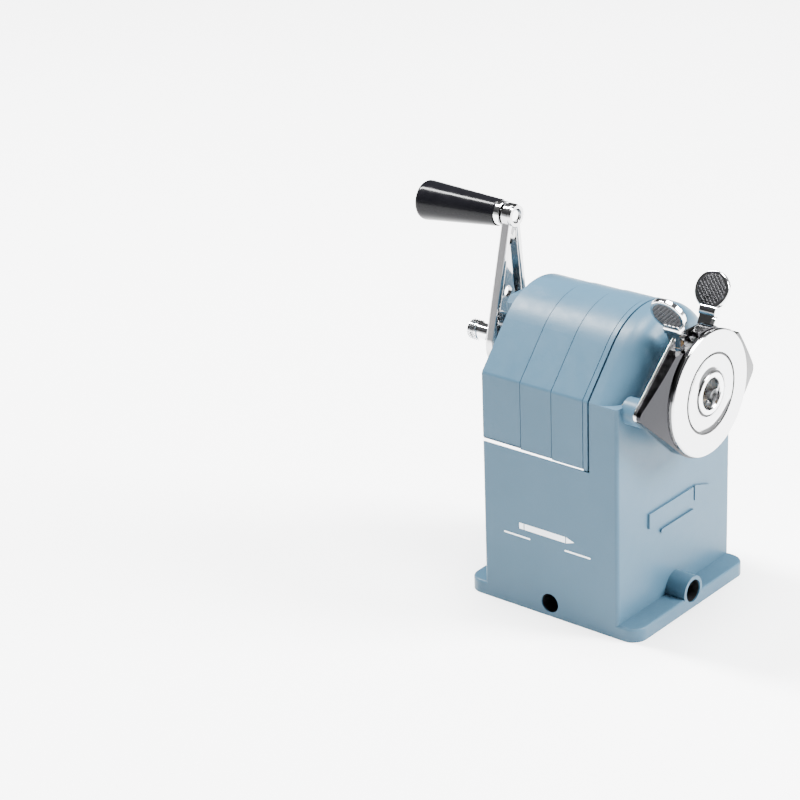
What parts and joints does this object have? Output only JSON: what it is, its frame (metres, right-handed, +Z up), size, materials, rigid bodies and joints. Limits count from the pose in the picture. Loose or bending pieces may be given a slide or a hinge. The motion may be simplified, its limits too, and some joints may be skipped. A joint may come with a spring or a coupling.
{
  "type": "hand-crank desk pencil sharpener",
  "caption": "Desk pencil sharpener: cast case with a lift-off arched cover, a rear crank with a plastic grip, and a sprung front carriage with finger levers that grip the pencil.",
  "frame": {"origin": "centre of the underside of the base", "axes": "+Z up; -Y is the front, where the pencil goes in; +Y is the rear, where the crank is; +X is to the right seen from the front"},
  "size_m": [0.0682, 0.1224, 0.1312],
  "materials": {
    "paint": "satin",
    "chrome": "polished",
    "steel": "brushed",
    "cast_metal": "cast",
    "bronze": "satin",
    "handle": "gloss",
    "pad": "matte"
  },
  "bodies": {
    "case": {"case_base": "paint", "front_wall": "paint", "left_wall": "paint", "right_wall": "paint", "rear_wall": "paint", "rear_bulkhead": "paint", "case_head": "paint", "base_pad": "pad", "rim_strip": "chrome", "front_bush": "bronze", "guide_bushes": "bronze", "ring_gear": "steel", "ring_screws": "steel", "bearing_housing": "chrome", "bearing_screws": "steel", "rear_bush": "bronze", "left_return_spring": "steel", "right_return_spring": "steel"},
    "cover": {"cover": "paint", "catch_spring": "steel"},
    "catch": {"cover_catch": "chrome"},
    "crank": {"carrier": "cast_metal", "cutter_axle": "steel", "crank_shaft": "steel", "thrust_washer": "steel", "crank_arm": "chrome", "crank_hub": "chrome", "crank_nut": "chrome", "handle_axle": "chrome"},
    "grip": {"ferrule": "chrome", "grip": "handle"},
    "cutter": {"helical_cutter": "steel"},
    "adjuster": {"adjuster_knob": "chrome"},
    "stop_pin": {"stop_pin": "steel"},
    "carriage": {"carriage_back": "chrome", "carriage_shell": "chrome", "carriage_screws": "steel", "face_disc": "chrome", "nose_ring": "chrome", "guide_rods": "chrome", "rod_collars": "steel", "jaw_guide": "steel", "lever_pins": "steel", "lever_spring": "steel"},
    "left_lever": {"left_lever": "chrome"},
    "right_lever": {"right_lever": "chrome"},
    "cam": {"cam_ring": "steel"},
    "jaw_1": {"jaw_1": "steel"},
    "jaw_2": {"jaw_2": "steel"},
    "jaw_3": {"jaw_3": "steel"}
  },
  "joints": [
    {"name": "cover_lift", "type": "slide", "parent": "case", "child": "cover", "axis": [0, 0, 1], "range_m": [0, 0.052]},
    {"name": "catch_slide", "type": "slide", "parent": "cover", "child": "catch", "axis": [0, 0, 1], "range_m": [0, 0.002], "stiffness_N_per_m": 300, "springref_m": -0.002, "deforming": ["catch_spring"]},
    {"name": "crank_turn", "type": "hinge", "parent": "case", "child": "crank", "pos_m": [0, 0.029, 0.0815], "axis": [0, 1, 0], "continuous": true},
    {"name": "grip_spin", "type": "hinge", "parent": "crank", "child": "grip", "pos_m": [0.0031, 0.0437, 0.12589], "axis": [0, 0.9986, -0.0523], "continuous": true},
    {"name": "cutter_spin", "type": "hinge", "parent": "crank", "child": "cutter", "pos_m": [0, -0.019, 0.0935], "axis": [0, 0.986, -0.1668], "continuous": true},
    {"name": "point_adjust", "type": "hinge", "parent": "crank", "child": "adjuster", "pos_m": [0, 0.053, 0.0815], "axis": [0, 1, 0], "range_deg": [0, 720]},
    {"name": "stop_pin_travel", "type": "slide", "parent": "crank", "child": "stop_pin", "axis": [0, 1, 0], "range_m": [0, 0.0021]},
    {"name": "carriage_pull", "type": "slide", "parent": "case", "child": "carriage", "axis": [0, -1, 0], "range_m": [0, 0.03], "stiffness_N_per_m": 60, "springref_m": -0.02, "deforming": ["left_return_spring", "right_return_spring"]},
    {"name": "left_lever_squeeze", "type": "hinge", "parent": "carriage", "child": "left_lever", "pos_m": [-0.0062, -0.0374, 0.0965], "axis": [0, 1, 0], "range_deg": [0, 18], "stiffness_Nm_per_rad": 0.05, "springref_deg": -22.92, "deforming": ["lever_spring"]},
    {"name": "right_lever_squeeze", "type": "hinge", "parent": "carriage", "child": "right_lever", "pos_m": [0.0062, -0.0374, 0.0965], "axis": [0, 1, 0], "range_deg": [-18.5, 0]},
    {"name": "cam_turn", "type": "hinge", "parent": "carriage", "child": "cam", "pos_m": [0, -0.0374, 0.0815], "axis": [0, 1, 0], "range_deg": [-12, 0]},
    {"name": "jaw_1_slide", "type": "slide", "parent": "carriage", "child": "jaw_1", "axis": [0, 0, 1], "range_m": [0, 0.0019]},
    {"name": "jaw_2_slide", "type": "slide", "parent": "carriage", "child": "jaw_2", "axis": [0.866, 0, -0.5], "range_m": [0, 0.0019]},
    {"name": "jaw_3_slide", "type": "slide", "parent": "carriage", "child": "jaw_3", "axis": [-0.866, 0, -0.5], "range_m": [0, 0.0019]}
  ],
  "couplings": [
    {"joint": "cutter_spin", "follows": "crank_turn", "ratio": -3},
    {"joint": "stop_pin_travel", "follows": "point_adjust", "m_per_rad": 0.00015915},
    {"joint": "right_lever_squeeze", "follows": "left_lever_squeeze", "ratio": -1},
    {"joint": "cam_turn", "follows": "left_lever_squeeze", "ratio": -0.63},
    {"joint": "jaw_1_slide", "follows": "left_lever_squeeze", "m_per_rad": 0.0057296},
    {"joint": "jaw_2_slide", "follows": "left_lever_squeeze", "m_per_rad": 0.0057296},
    {"joint": "jaw_3_slide", "follows": "left_lever_squeeze", "m_per_rad": 0.0057296}
  ]
}
